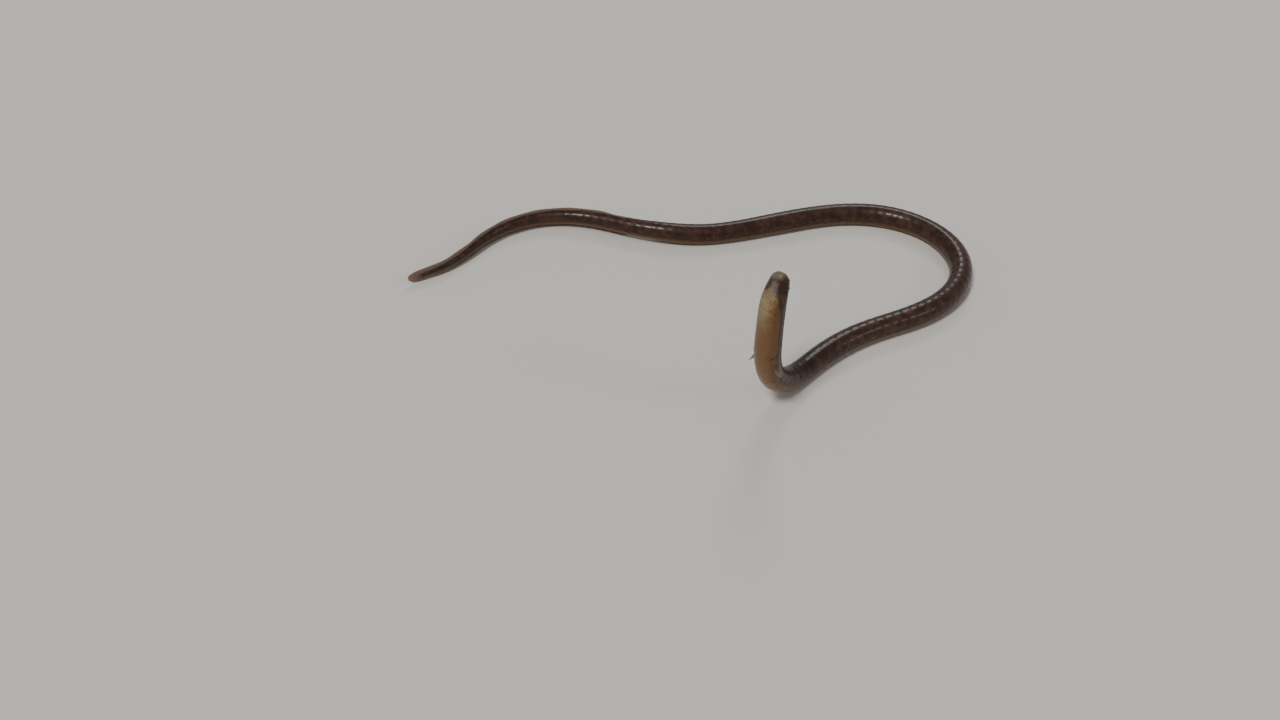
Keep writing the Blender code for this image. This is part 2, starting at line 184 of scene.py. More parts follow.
def lay_route():
    """Eased turns add up to the heading; near the head the tangent mixes it with straight down."""
    s = np.arange(0.0, TOTAL_LENGTH + ROUTE_STEP / 2, ROUTE_STEP)
    turns = [math.radians(turn) * ease_from(s, start, length) for start, length, turn in BENDS]
    heading = FIRST_HEADING + sum(turns)
    rise = (1 - ease_from(s, RISE_START, RISE_LENGTH)) * math.pi / 2
    level = np.stack([np.cos(heading), np.sin(heading), 0 * s], axis=1)
    lean = HEAD_LEAN + (NECK_LEAN - HEAD_LEAN) * ease_from(s, LEAN_START, LEAN_LENGTH)
    up = unit(np.stack([lean, 0 * s, 0 * s + 1], axis=1))
    tail = unit(np.cos(rise)[:, None] * level - np.sin(rise)[:, None] * up)
    back = np.cos(rise)[:, None] * np.array([0.0, 0.0, 1.0]) + np.sin(rise)[:, None] * level
    back = unit(back - tail * np.sum(back * tail, axis=1, keepdims=True))
    points = np.vstack([np.zeros(3), np.cumsum((tail[1:] + tail[:-1]) / 2 * ROUTE_STEP, axis=0)])
    points[:, 2] += lying_height(np.maximum(s, LYING_START)) - points[-1, 2]
    points[:, :2] += HEAD_PLACE
    bend = np.gradient(tail, ROUTE_STEP, axis=0)
    left = np.cross(tail, back)
    return {"s": s, "point": points, "tail": tail, "back": back, "left": left, "bend": bend}


ROUTE = lay_route()
AHEAD = unit(ROUTE["point"][0] - ROUTE["point"][1])  # the way past the snout's tip, where s is below 0


def on_route(what, s):
    """One of the route's vectors, read at every s of an array."""
    return np.stack([np.interp(s, ROUTE["s"], ROUTE[what][:, axis]) for axis in range(3)], axis=-1)


def place(s, across, up):
    """The point at s, moved to the eel's left and towards its back, and never under the floor."""
    across, up = np.asarray(across)[..., None], np.asarray(up)[..., None]
    found = on_route("point", s) + across * on_route("left", s) + up * on_route("back", s)
    found += np.maximum(-np.asarray(s), 0.0)[..., None] * AHEAD
    found[..., 2] = np.maximum(found[..., 2], 0.0)
    return found


tightest = 1 / np.linalg.norm(ROUTE["bend"], axis=1).max()
snout_height = float(ROUTE["point"][0, 2])
print("snout", round(snout_height, 1), "mm up; tightest bend", round(float(tightest), 1), "mm")

# %% [markdown]
# ## The camera
#
# The picture looks down at about 40 degrees and shows the raised head a little right of the middle. The
# lens and the tilt give the direction from the camera to that pixel. Walking back along that direction from
# the head, as far as the scale of the picture asks, gives the camera's place. Matching it by eye would also
# work, but then every change of the pose would need a new match.

# %% The camera, from one pixel and one scale
IMAGE_SIZE = (1280, 720)
FIELD_OF_VIEW = math.radians(60)
HEAD_PIXEL = (774.7, 297)
HEAD_VIEWED_AT = 7.9  # the place along the head that lies on that pixel
MM_PER_PIXEL = 0.25
VIEW_ELEVATION = math.radians(37)

focal = IMAGE_SIZE[0] / 2 / math.tan(FIELD_OF_VIEW / 2)
above_middle = (IMAGE_SIZE[1] / 2 - HEAD_PIXEL[1]) / focal
right_of_middle = (HEAD_PIXEL[0] - IMAGE_SIZE[0] / 2) / focal
pitch = VIEW_ELEVATION + math.atan(above_middle)
look = np.array([0.0, math.cos(pitch), -math.sin(pitch)])
upward = np.array([0.0, math.sin(pitch), math.cos(pitch)])
towards_head = look + right_of_middle * np.array([1.0, 0.0, 0.0]) + above_middle * upward
camera_place = on_route("point", HEAD_VIEWED_AT) - MM_PER_PIXEL * focal * towards_head

camera = bpy.data.objects.new("camera", bpy.data.cameras.new("camera"))
bpy.context.scene.collection.objects.link(camera)
camera.data.angle = FIELD_OF_VIEW
camera.data.clip_start = 0.004
camera.location = camera_place * MM
camera.rotation_euler = (math.pi / 2 - pitch, 0.0, 0.0)
bpy.context.scene.camera = camera
print("camera at", np.round(camera_place, 1), "mm;", round(math.degrees(pitch), 1), "degrees down")

# %% [markdown]
# ## From a grid to a mesh
#
# A grid of points becomes a mesh by joining each point to its three neighbours. For a tube the last column
# joins the first again, and a single point closes each end. The index arithmetic is done on whole arrays,
# because a loop over a hundred thousand points would be slow. Values that the materials need, such as how
# far along the body a point is, ride along as attributes.


# %% Grids, tubes and attributes
def tube_faces(rows, columns):
    """Quads between neighbouring rows, and a fan of triangles from each end row to a closing point."""
    k = np.arange(rows * columns).reshape(rows, columns)
    following = np.roll(k, -1, axis=1)
    quads = np.stack([k[:-1], k[1:], following[1:], following[:-1]], axis=-1).reshape(-1, 4)
    first, last = rows * columns, rows * columns + 1
    front = np.stack([k[0], following[0], np.full(columns, first)], axis=-1)
    rear = np.stack([following[-1], k[-1], np.full(columns, last)], axis=-1)
    return quads.tolist() + front.tolist() + rear.tolist()


def make_tube(name, rings, material, values, ends=None):
    """A closed mesh from rings of points (rows, columns, 3), with values as arrays of (rows, columns)."""
    rows, columns = rings.shape[:2]
    ends = (rings[0].mean(axis=0), rings[-1].mean(axis=0)) if ends is None else ends
    points = np.vstack([rings.reshape(-1, 3), ends[0], ends[1]]) * MM
    mesh = bpy.data.meshes.new(name)
    mesh.from_pydata(points.tolist(), [], tube_faces(rows, columns))
    for key, value in values.items():
        flat = np.concatenate([value.ravel(), [value[0].mean(), value[-1].mean()]])
        mesh.attributes.new(key, "FLOAT", "POINT").data.foreach_set("value", flat.astype(np.float32))
    mesh.shade_smooth()
    mesh.materials.append(material)
    made = bpy.data.objects.new(name, mesh)
    bpy.context.scene.collection.objects.link(made)
    face_outward(made)
    return made


def face_outward(made):
    """Turns every face over if the closed mesh encloses a negative volume."""
    mesh = made.data
    mesh.calc_loop_triangles()
    corners = np.zeros(len(mesh.loop_triangles) * 3, np.int32)
    mesh.loop_triangles.foreach_get("vertices", corners)
    flat = np.zeros(len(mesh.vertices) * 3, np.float32)
    mesh.vertices.foreach_get("co", flat)
    a, b, c = (flat.reshape(-1, 3)[corners.reshape(-1, 3)[:, i]].astype(float) for i in range(3))
    if np.sum(a * np.cross(b, c)) < 0:
        mesh.flip_normals()


def finish_piece(made, slot, *nodes):
    """The piece rides on the still body and stands for its solids."""
    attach(made, "root")
    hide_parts(*nodes)
    print(made.name, len(made.data.vertices), "points")


print("faces of a 3 by 4 tube:", len(tube_faces(3, 4)))

# %% [markdown]
# ## Shading helpers
#
# A material is a small machine of nodes. Spelling out every node and link hides what the machine does, so
# these helpers make one node each and return its output, and a colour can be read as a sentence: mix the
# belly with the back by the height.


# %% Node helpers
def new_material(name):
    """An empty Principled material; returns it with its node tree and shader."""
    made = bpy.data.materials.new(name)
    made.use_nodes = True
    return made, made.node_tree, made.node_tree.nodes["Principled BSDF"]


def join(tree, value, socket):
    """Links an output to the socket, or sets the socket to a plain value."""
    if isinstance(value, bpy.types.NodeSocket):
        tree.links.new(value, socket)
    else:
        socket.default_value = value


def calc(tree, operation, *values):
    """One Math node."""
    made = tree.nodes.new("ShaderNodeMath")
    made.operation = operation
    for socket, value in zip(made.inputs, values):
        join(tree, value, socket)
    return made.outputs[0]


def fade(tree, value, low, high):
    """A smooth step of a value, from 0 at low to 1 at high."""
    made = tree.nodes.new("ShaderNodeMapRange")
    made.interpolation_type = "SMOOTHSTEP"
    for socket, given in zip(made.inputs, (value, low, high, 0.0, 1.0)):
        join(tree, given, socket)
    return made.outputs[0]


def less(tree, value):
    """1 minus the value."""
    return calc(tree, "SUBTRACT", 1.0, value)


def mix(tree, share, first, second):
    """The first colour where the share is 0, the second where it is 1."""
    made = tree.nodes.new("ShaderNodeMix")
    made.data_type = "RGBA"
    for index, given in ((0, share), (6, first), (7, second)):
        join(tree, given, made.inputs[index])
    return made.outputs[2]


def noise(tree, scale, detail=3.0):
    """Cloudy noise in Object coordinates, scale in waves a metre."""
    coordinates = tree.nodes.new("ShaderNodeTexCoord")
    made = tree.nodes.new("ShaderNodeTexNoise")
    tree.links.new(coordinates.outputs["Object"], made.inputs["Vector"])
    made.inputs["Scale"].default_value = scale
    made.inputs["Detail"].default_value = detail
    made.inputs["Roughness"].default_value = 0.55
    return made.outputs[0]


def attribute(tree, name):
    """A value that the mesh carries at its points."""
    made = tree.nodes.new("ShaderNodeAttribute")
    made.attribute_name = name
    return made.outputs["Fac"]


def bump(tree, height, distance, below=None):
    """A Bump node, its distance in metres, on top of another one."""
    made = tree.nodes.new("ShaderNodeBump")
    made.inputs["Distance"].default_value = distance
    tree.links.new(height, made.inputs["Height"])
    if below is not None:
        tree.links.new(below, made.inputs["Normal"])
    return made.outputs[0]


print("node helpers ready")

# %% [markdown]
# ## The skin's colours
#
# The back is a dark purple-brown, the flank an orange-brown and the belly and throat a pale tan. Both jaws
# end in an olive-grey painted highlight, the tip lit from above. Behind it the dark colour reaches nearly
# round to the chin, where a lilac-grey painted highlight of the light above is laid. The borders are
# uneven, so a cloudy noise is added to the height before the bands are read. They also sit lower on its
# left than on its right, partly as painted shade on the left, which is turned from the light, and partly to
# stand in for a belly turned a little to its right, so the distance across shifts them a little. Fine dark
# specks are pigment cells. The wet film over it all is a clear coat on a rougher skin.
# Painting all this by hand would need a picture; read from place and height it stays sharp at any distance.

# %% Wet skin
BACK = (0.031, 0.0140, 0.0088, 1.0)
BACK_PALE = (0.074, 0.033, 0.023, 1.0)
FLANK = (0.120, 0.060, 0.020, 1.0)
BELLY = (0.215, 0.120, 0.056, 1.0)
THROAT = (0.286, 0.238, 0.122, 1.0)
# painted highlight: the lilac-grey sheen of the light above on the wet chin
CHIN_HIGHLIGHT = (0.178, 0.130, 0.132, 1.0)
# painted highlight: the olive-grey tip of both jaws, lit from above
TIP_HIGHLIGHT = (0.182, 0.156, 0.106, 1.0)
BLUSH = (0.150, 0.076, 0.031, 1.0)  # the gills' blood behind the skin
SPECK = (0.014, 0.007, 0.008, 1.0)
CLOUDS, MOTTLE, SPECKS, GRAIN = 420.0, 1500.0, 5200.0, 4200.0  # noises, in waves a metre
CLOUDS_SHIFT, MOTTLE_SHIFT = 0.50, 0.28  # how much they move the borders, as shares of the body's depth
# Heights as shares of the body's depth, from where a colour begins to where it is full
DARK_EDGE = (-1.06, -0.78)
FLANK_EDGE = (-0.88, -0.52)
THROAT_EDGE = (-1.06, -0.74)
DARK_RISE = 0.70  # how much higher the dark edge is behind the jaws
DARK_RISE_FRONT = 0.14  # and on the throat and gills still a bit more
DARK_ROUND_TIP = 0.16  # and how much lower it is just behind the painted highlight on the tip
SHADE_SLANT = 0.05  # how much lower the edges of throat and gills are for each millimetre to the left; partly painted shade, as the left side is turned from the light
# Places along the body, from where a colour begins to fade in or out to where it has done so
FRONT_START, FRONT_END = (4.0, 8.0), (30.0, 16.0)
THROAT_END = (8.0, 21.5)
BLUSH_START, BLUSH_END = (10.2, 18.5), (24.0, 34.0)
DARK_RISE_PLACE, ROUND_TIP_END = (4.3, 13.0), (5.8, 2.5)
# where the chin's painted highlight lies
CHIN_HIGHLIGHT_START, CHIN_HIGHLIGHT_END = (1.6, 2.8), (9.8, 4.0)
CHIN_HIGHLIGHT_TURN = (0.86, 1.00)  # the same round the body: 0 is the back's ridge and 1 the belly's middle
# where the painted highlight on the tip lies
TIP_HIGHLIGHT_END = (2.4, 0.8)
TIP_HIGHLIGHT_SLOPE, TIP_HIGHLIGHT_SLANT = 1.2, 0.4  # how much nearer the tip the painted highlight ends on the upper jaw and to the left, the side turned from the light
TIP_CLOUDS, TURN_CLOUDS = 2.4, 0.16  # how much the clouds move the borders of the painted highlights on the tip and the chin
BLUSH_SHARE, CHIN_HIGHLIGHT_SHARE, TIP_HIGHLIGHT_SHARE, PORE_SHARE = 0.60, 0.75, 0.85, 0.30
SPECKS_BELOW, SPECKS_ABOVE = 0.22, 0.62  # how strong the specks are on the belly and on the back


def skin_material():
    """Belly, flank, throat, gills, back, painted chin highlight, painted tip highlight, specks and pores,
    each mixed over the ones before.
    """
    made, tree, shader = new_material("wet_skin")
    along, height, across = (attribute(tree, name) for name in ("along", "height", "across"))
    clouds, mottle = noise(tree, CLOUDS), noise(tree, MOTTLE, 5.0)
    uneven = calc(tree, "MULTIPLY_ADD", calc(tree, "SUBTRACT", clouds, 0.5), CLOUDS_SHIFT, height)
    uneven = calc(tree, "MULTIPLY_ADD", calc(tree, "SUBTRACT", mottle, 0.5), MOTTLE_SHIFT, uneven)
    front = calc(tree, "MULTIPLY", fade(tree, along, *FRONT_START), fade(tree, along, *FRONT_END))
    # partly painted shade: the edges sit lower on the animal's left, which is turned from the light
    uneven = calc(tree, "MULTIPLY_ADD", calc(tree, "MULTIPLY", front, across), SHADE_SLANT, uneven)

    belly = mix(tree, fade(tree, mottle, 0.45, 0.75), BELLY, FLANK)
    colour = mix(tree, fade(tree, uneven, *FLANK_EDGE), belly, FLANK)
    under = less(tree, fade(tree, uneven, *THROAT_EDGE))
    throat = calc(tree, "MULTIPLY", less(tree, fade(tree, along, *THROAT_END)), under)
    colour = mix(tree, throat, colour, THROAT)
    no_blush = fade(tree, along, *BLUSH_END)
    blush = calc(tree, "MULTIPLY", fade(tree, along, *BLUSH_START), less(tree, no_blush))
    colour = mix(tree, calc(tree, "MULTIPLY", blush, BLUSH_SHARE), colour, BLUSH)

    rising = calc(tree, "MULTIPLY", fade(tree, along, *DARK_RISE_PLACE), DARK_RISE)
    rising = calc(tree, "MULTIPLY_ADD", front, DARK_RISE_FRONT, rising)
    round_tip = calc(tree, "MULTIPLY", fade(tree, along, *ROUND_TIP_END), DARK_ROUND_TIP)
    level = calc(tree, "SUBTRACT", calc(tree, "ADD", uneven, round_tip), rising)
    back = mix(tree, fade(tree, clouds, 0.35, 0.75), BACK, BACK_PALE)
    colour = mix(tree, fade(tree, level, *DARK_EDGE), colour, back)

    # painted highlights: the lilac-grey chin and the lit olive-grey tip
    from_tip = calc(tree, "MULTIPLY_ADD", clouds, TIP_CLOUDS, along)
    turn = calc(tree, "MULTIPLY_ADD", clouds, TURN_CLOUDS, attribute(tree, "turn"))
    chin_highlight = calc(tree, "MULTIPLY", fade(tree, along, *CHIN_HIGHLIGHT_START), fade(tree, from_tip, *CHIN_HIGHLIGHT_END))
    chin_highlight = calc(tree, "MULTIPLY", chin_highlight, fade(tree, turn, *CHIN_HIGHLIGHT_TURN))
    colour = mix(tree, calc(tree, "MULTIPLY", chin_highlight, CHIN_HIGHLIGHT_SHARE), colour, CHIN_HIGHLIGHT)
    low = calc(tree, "MINIMUM", height, -0.5)
    tip_highlight_edge = calc(tree, "MULTIPLY_ADD", low, TIP_HIGHLIGHT_SLOPE, from_tip)
    tip_highlight_edge = calc(tree, "MULTIPLY_ADD", across, TIP_HIGHLIGHT_SLANT, tip_highlight_edge)
    tip_highlight = calc(tree, "MULTIPLY", fade(tree, tip_highlight_edge, *TIP_HIGHLIGHT_END), TIP_HIGHLIGHT_SHARE)
    colour = mix(tree, tip_highlight, colour, TIP_HIGHLIGHT)

    specks = fade(tree, noise(tree, SPECKS, 2.0), 0.58, 0.68)
    more_above = SPECKS_ABOVE - SPECKS_BELOW
    share = calc(tree, "MULTIPLY_ADD", fade(tree, height, -0.9, 0.1), more_above, SPECKS_BELOW)
    colour = mix(tree, calc(tree, "MULTIPLY", specks, share), colour, SPECK)
    colour = mix(tree, calc(tree, "MULTIPLY", attribute(tree, "pores"), PORE_SHARE), colour, THROAT)
    tree.links.new(colour, shader.inputs["Base Color"])

    rough = calc(tree, "MULTIPLY_ADD", mottle, 0.30, 0.24)
    tree.links.new(rough, shader.inputs["Roughness"])
    shader.inputs["Specular IOR Level"].default_value = 0.20
    shader.inputs["Coat Weight"].default_value = 0.30
    shader.inputs["Coat Roughness"].default_value = 0.06
    shader.inputs["Coat IOR"].default_value = 1.33
    shader.inputs["Subsurface Weight"].default_value = 0.12
    shader.inputs["Subsurface Radius"].default_value = (1.0, 0.45, 0.25)
    shader.inputs["Subsurface Scale"].default_value = 0.0006
    fine = bump(tree, noise(tree, GRAIN, 4.0), 0.000006)
    tree.links.new(bump(tree, mottle, 0.000022, fine), shader.inputs["Normal"])
    return made


SKIN = skin_material()
print("skin nodes:", len(SKIN.node_tree.nodes))

# %% [markdown]
# ## The head's form
#
# The snout and the lower jaw are two blunt, egg-shaped ends, one above the other. The lower one stands a
# little in front. They meet at the mouth line. A grid that had to follow both by hand would be awkward, so
# the head is described the other way round: a field says how far any point is from the skin, negative
# inside. The two jaws blend at the mouth line, the shut mouth is a narrow groove in the field and the lips
# are soft swellings beside it. The skin is wherever the field is zero.

# %% The field round the head and body
LOWER_JAW_LEAD = 0.6  # how far the lower jaw stands in front of the snout
TIP_ROUND = 2.5  # over this length both tips round off
JAW_BLEND = 6.0  # behind this place the two jaws have one form
SNOUT_TIP_HEIGHT, LOWER_TIP_HEIGHT = 0.25, -0.62
MOUTH_HEIGHT, MOUTH_CORNER_DROP, MOUTH_DROP_START, MOUTH_LENGTH = -0.35, 0.30, 2.66, 7.6
MOUTH_DEPTH, MOUTH_WIDTH, MOUTH_TAPER = 0.42, 0.065, 3.4
LIP_HEIGHT, LIP_OFFSET, LIP_WIDTH = 0.09, 0.30, 0.20
LIP_BLEND = 0.15  # the height over which one jaw's form turns into the other's
SKIN_END, SKIN_END_ROUND = 335.6, 3.5
LEAD_END = 12.0

# The snout is the body's form moved back by the lead; this table finds which of its sections lies at s
snout_t = np.linspace(-4.0, LEAD_END, 161)
snout_s = snout_t + LOWER_JAW_LEAD * (1 - ease(snout_t / JAW_BLEND))


def mouth_height(s):
    """The mouth line falls gently towards its corner."""
    return MOUTH_HEIGHT - MOUTH_CORNER_DROP * ease_from(s, MOUTH_DROP_START, MOUTH_LENGTH)


def skin_field(s, across, up):
    """Nearly the distance to the skin: an ellipse's reach minus 1, times its radius, with groove and lips.

    The reach of a point is the root of (across / half width)^2 + (rise / height)^2 + bluntness^2.
    """
    mouth = mouth_height(s)
    upper = ease((up - mouth) / LIP_BLEND + 0.5)
    behind_snout = np.where(s < LEAD_END, np.interp(s, snout_s, snout_t), s)
    t = s + upper * (behind_snout - s)
    snout_middle = SNOUT_TIP_HEIGHT * (1 - ease(behind_snout / JAW_BLEND))
    jaw_middle = LOWER_TIP_HEIGHT * (1 - ease(s / JAW_BLEND))
    rise = up - jaw_middle - upper * (snout_middle - jaw_middle)
    half_width, above, below = sizes_at(np.maximum(t, 0.0))
    tall = np.where(rise > 0, above, below)
    blunt = np.maximum(1 - t / TIP_ROUND, 0.0)
    blunt += np.maximum((s - SKIN_END) / SKIN_END_ROUND + 1, 0.0)
    reach = np.sqrt((across / half_width) ** 2 + (rise / tall) ** 2 + blunt**2)
    beside = np.abs(up - mouth)
    mouth_part = 1 - ease((s - MOUTH_LENGTH) / MOUTH_TAPER + 1)
    groove = MOUTH_DEPTH * hump(beside, MOUTH_WIDTH)
    lips = LIP_HEIGHT * hump(beside - LIP_OFFSET, LIP_WIDTH)
    return (reach - 1) * (half_width + tall) / 2 + mouth_part * (groove - lips)


print("field at the middle of the head:", round(float(skin_field(np.array(9.0), 0.0, 0.0)), 2), "mm")

# %% [markdown]
# ## Rays that find the skin
#
# From a row of points inside the animal, rays go out to all sides. At the snout they fan forward like the
# ribs of an umbrella, and behind it they stand square to the midline. Halving an interval again and again
# finds where each ray meets the skin, for all rays at once. The rays start at the height of the mouth, so
# one column of the grid follows the mouth line exactly, and the columns crowd together there to draw the
# groove finely.

# %% Rays, and where they meet the skin
COLUMNS = 112
FRONT_ROWS, END_ROWS = 64, 10
FAN_CENTRE = 3.0  # the place from which the front rows fan out
ROW_STEPS = ((6.0, 0.06), (10.0, 0.09), (30.0, 0.17), (SKIN_END - SKIN_END_ROUND, 0.51))  # up to, step
LONGEST_RAY = 6.0
HALVINGS = 30
MOUTH_CROWDING = 0.78
CROWDING_END, MOUTH_ROW_END = (9.0, 12.0), (10.0, 12.0)  # from this place on, fading over this length


def spread(start, end, step):
    """Evenly spaced places after start, up to and with end."""
    count = round((end - start) / step)
    return np.linspace(start, end, count + 1)[1:]


row_starts = [FAN_CENTRE] + [end for end, step in ROW_STEPS[:-1]]
rows = [spread(start, end, step) for start, (end, step) in zip(row_starts, ROW_STEPS)]
end_turn = np.linspace(0.0, math.pi / 2, END_ROWS + 2)[1:-1]
end_rows = SKIN_END - SKIN_END_ROUND + SKIN_END_ROUND * np.sin(end_turn)
behind_fan = np.concatenate(rows + [end_rows])
lean = np.linspace(0.0, math.pi / 2, FRONT_ROWS + 1)[1:]
ray_start = np.concatenate([np.full(FRONT_ROWS, FAN_CENTRE), behind_fan])[:, None]
ray_lean = np.concatenate([lean, np.full(len(behind_fan), math.pi / 2)])[:, None]
ray_height = mouth_height(ray_start) * (1 - ease_from(ray_start, *MOUTH_ROW_END))
turn = np.arange(COLUMNS)[None, :] * 2 * math.pi / COLUMNS
crowding = MOUTH_CROWDING * (1 - ease_from(ray_start, *CROWDING_END))
angle = turn + crowding / 2 * np.sin(2 * turn)  # 0 is the back's ridge
side_angle = np.minimum(angle, 2 * math.pi - angle)  # the same for both sides


def along_ray(length):
    """(place along the body, across, up) of the point at that length along each ray."""
    return (
        ray_start - length * np.cos(ray_lean),
        length * np.sin(ray_lean) * np.sin(angle),
        ray_height + length * np.sin(ray_lean) * np.cos(angle),
    )


inside, outside = np.zeros_like(angle), np.full_like(angle, LONGEST_RAY)
for _ in range(HALVINGS):
    middle = (inside + outside) / 2
    within = skin_field(*along_ray(middle)) < 0
    inside, outside = np.where(within, middle, inside), np.where(within, outside, middle)
plain_length = (inside + outside) / 2
plain_s, plain_across, plain_up = along_ray(plain_length)
print("skin grid:", angle.shape, "rows and columns;", 2 * angle.size, "triangles")

# %% [markdown]
# ## Relief on the head
#
# On the plain form sit the small things that make it an animal: a shallow ring round each minute eye, two
# nostrils on each side, a row of sense pores along the jaw and over the snout, and a slanting gill opening
# low on each side. Each is a soft hump or pit as a function of the distance to its own centre. A bump
# texture could imitate them, but only from far away. Here the relief is added to the rays' lengths, so it
# is real geometry.


# %% Places on the skin
def on_section(s, around):
    """(place, across, up) on the plain section at s, at an angle from the back's ridge."""
    half_width, above, below = (float(size) for size in sizes_at(s))
    blunt = math.sqrt(1 - max(1 - s / TIP_ROUND, 0.0) ** 2)
    jaw = SNOUT_TIP_HEIGHT if abs(around) < math.pi / 2 else LOWER_TIP_HEIGHT
    lead = LOWER_JAW_LEAD if abs(around) < math.pi / 2 else 0.0
    fade_out = 1 - float(ease(s / JAW_BLEND))
    tall = above if math.cos(around) > 0 else below
    up = jaw * fade_out + blunt * tall * math.cos(around)
    return s + lead * fade_out, blunt * half_width * math.sin(around), up


def away_from(s, around):
    """The distance of every skin point from a place on the left side or its mirror place on the right."""
    at_s, across, up = on_section(s, around)
    return np.sqrt((plain_s - at_s) ** 2 + (np.abs(plain_across) - across) ** 2 + (plain_up - up) ** 2)


def pit(distance, radius, wall):
    """1 inside the radius, easing to 0 over the wall."""
    return 1 - ease_from(distance, radius, wall)


# Every place on the skin is millimetres along the body, and an angle round it from the back's ridge
EYE_PLACE, EYE_ANGLE = 4.1, math.radians(62)
print("eye at", np.round(on_section(EYE_PLACE, EYE_ANGLE), 2))

# %% Eyes and nostrils in the relief
EYE_RING_RADIUS, EYE_RING_WIDTH, EYE_RING_HEIGHT = 0.78, 0.16, 0.05
EYE_PIT_RADIUS, EYE_PIT_WALL, EYE_PIT_DEPTH = 0.28, 0.30, 0.35
NOSTRILS = (  # with the hole's width and the rim's height
    (1.3, math.radians(66), 0.16, 0.10),
    (2.9, math.radians(50), 0.17, 0.03),
)
NOSTRIL_RIM_RADIUS, NOSTRIL_RIM_WIDTH, NOSTRIL_DEPTH = 0.27, 0.10, 0.40


def eye_relief():
    """A pit that holds the eye, with a low ring round it."""
    distance = away_from(EYE_PLACE, EYE_ANGLE)
    ring = EYE_RING_HEIGHT * hump(distance - EYE_RING_RADIUS, EYE_RING_WIDTH)
    return ring - EYE_PIT_DEPTH * pit(distance, EYE_PIT_RADIUS, EYE_PIT_WALL)


def nostril_relief(s, around, hole, rim_height):
    """A round hole with a raised rim."""
    distance = away_from(s, around)
    rim = rim_height * hump(distance - NOSTRIL_RIM_RADIUS, NOSTRIL_RIM_WIDTH)
    return rim - NOSTRIL_DEPTH * pit(distance, hole / 2, hole)


relief = eye_relief() + sum(nostril_relief(*nostril) for nostril in NOSTRILS)
print("eyes and nostrils down to", round(float(relief.min()), 2), "mm")

# %% Pores and gill openings in the relief
JAW_PORES = tuple((1.0 + 1.1 * i, math.radians(124 - 2 * i)) for i in range(6))
SNOUT_PORES = tuple((s, math.radians(turn)) for s, turn in ((0.9, 24), (2.1, 34), (3.4, 30), (5.8, 44)))
PORE_WIDTH, PORE_DEPTH = 0.11, 0.06
GILL_PLACE, GILL_ANGLE, GILL_SLANT = 25.2, math.radians(122), math.radians(25)
GILL_HALF_LENGTH = 1.35
GILL_RADIUS = 3.7  # of the body there
FLAP_LEAD, FLAP_WIDTH, FLAP_HEIGHT = 0.42, 0.34, 0.12
SLIT_WIDTH, SLIT_DEPTH = 0.17, 0.50
HOLLOW_PLACE, HOLLOW_WIDTH, HOLLOW_DEPTH = 0.5, 0.4, 0.12  # just behind the slit


def pore_relief():
    """A pit at each sense pore."""
    pits = [hump(away_from(*spot), PORE_WIDTH) for spot in JAW_PORES + SNOUT_PORES]
    return -PORE_DEPTH * sum(pits)


def gill_relief():
    """A slanting slit. The skin in front of it is raised a little, like the edge of a flap."""
    along = plain_s - GILL_PLACE
    to_back = (GILL_ANGLE - side_angle) * GILL_RADIUS
    across_slit = math.cos(GILL_SLANT) * along + math.sin(GILL_SLANT) * to_back
    on_slit = math.cos(GILL_SLANT) * to_back - math.sin(GILL_SLANT) * along
    window = np.sqrt(np.clip(1 - (on_slit / GILL_HALF_LENGTH) ** 2, 0.0, 1.0))
    flap = FLAP_HEIGHT * hump(across_slit + FLAP_LEAD, FLAP_WIDTH)
    slit = SLIT_DEPTH * hump(across_slit, SLIT_WIDTH)
    slit += HOLLOW_DEPTH * hump(across_slit - HOLLOW_PLACE, HOLLOW_WIDTH)
    return window * (flap - slit)


relief += pore_relief() + gill_relief()
print("with pores and gill openings down to", round(float(relief.min()), 2), "mm")

# %% [markdown]
# ## Relief on the body
#
# Under the thin skin lie the muscles, in bands that zigzag from back to belly. A shallow furrow runs down
# the back and a finer one, the lateral line, along each flank. Where the body bends, the skin on the inner
# side is pressed into small folds. How strong they are follows from the bend itself: the skin is shortened
# by its distance from the midline divided by the bend's radius. The throat has lengthwise folds that let it
# widen, and behind the eyes the jaw muscles swell. Sculpting all these one by one would take days. Waves
# and humps of the place along the body and the angle round it lay them all at once.

# %% Muscle bands
MUSCLE_LENGTH, MUSCLE_HEIGHT = 3.0, 0.028  # from one band to the next
ZIGZAG_REACH, ZIGZAG_NOTCH, NOTCH_WIDTH = 1.5, 0.8, 0.35
# From here on, such a pair says where a form rises or fades along the body, and over what length
MUSCLES_RISE, MUSCLES_FLATTEN = (24, 14), (290, 40)
FLATTENED = 0.6  # the share of their height that is lost at the tail


def muscle_relief():
    """Waves along the body, pushed forward by a zigzag of the height, only behind the head."""
    height = np.cos(side_angle)
    zigzag = ZIGZAG_REACH * np.abs(height) - ZIGZAG_NOTCH * hump(height, NOTCH_WIDTH)
    wave = np.sin(2 * math.pi * (plain_s - zigzag) / MUSCLE_LENGTH)
    strength = ease_from(plain_s, *MUSCLES_RISE) * (1 - FLATTENED * ease_from(plain_s, *MUSCLES_FLATTEN))
    return MUSCLE_HEIGHT * wave * strength


relief += muscle_relief()
print("muscle bands:", round((TOTAL_LENGTH - MUSCLES_RISE[0]) / MUSCLE_LENGTH))

# %% Folds in the bends
FOLD_LENGTH, FOLD_DEPTH = 2.35, 0.16
FOLD_SHORTENING = (0.03, 0.16)  # of the skin, where folds begin, and the range over which they deepen
FOLDS_RISE = (15, 12)


